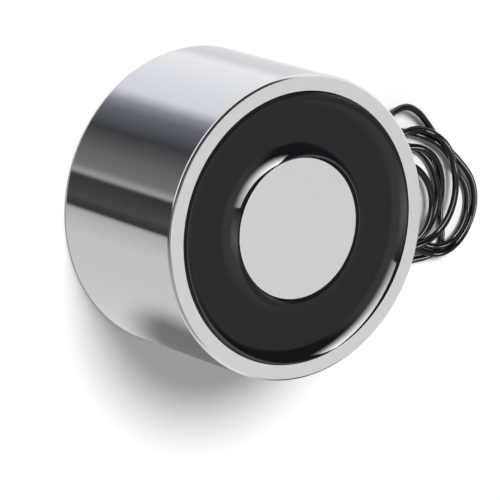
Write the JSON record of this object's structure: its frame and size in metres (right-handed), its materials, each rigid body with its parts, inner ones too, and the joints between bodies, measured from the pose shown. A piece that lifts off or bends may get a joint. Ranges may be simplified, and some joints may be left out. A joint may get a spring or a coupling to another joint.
{
  "type": "holding electromagnet",
  "caption": "Round holding electromagnet: nickel-plated steel pot with a centre pole, coil sealed in dished black resin, tapped hole in the back and thin coiled supply leads.",
  "frame": {"origin": "centre of the round mounting face, on the pot's axis", "axes": "+Z along the axis from the mounting face to the working face, +Y through the lead hole in the rim wall"},
  "size_m": [0.055, 0.083, 0.03],
  "materials": {
    "nickel_steel": "polished nickel plate, ground on the working face",
    "bobbin_nylon": "moulded nylon",
    "copper_wire": "enamelled copper wire, layer wound",
    "coil_tape": "polyester film tape",
    "shrink_sleeve": "shrunk insulating sleeve",
    "potting_resin": "glossy cast resin",
    "lead_insulation": "smooth glossy insulation",
    "tinned_copper": "tinned stranded wire"
  },
  "bodies": {
    "root": {"pot_body": "nickel_steel", "bobbin": "bobbin_nylon", "winding": "copper_wire", "winding_tape": "coil_tape", "splice_a": "shrink_sleeve", "splice_b": "shrink_sleeve", "potting": "potting_resin", "lead_sleeve": "shrink_sleeve", "lead_a": "lead_insulation", "lead_b": "lead_insulation", "lead_coil": "lead_insulation", "lead_a_tail": "lead_insulation", "lead_b_tail": "lead_insulation", "lead_a_tip": "tinned_copper", "lead_b_tip": "tinned_copper"}
  },
  "joints": []
}
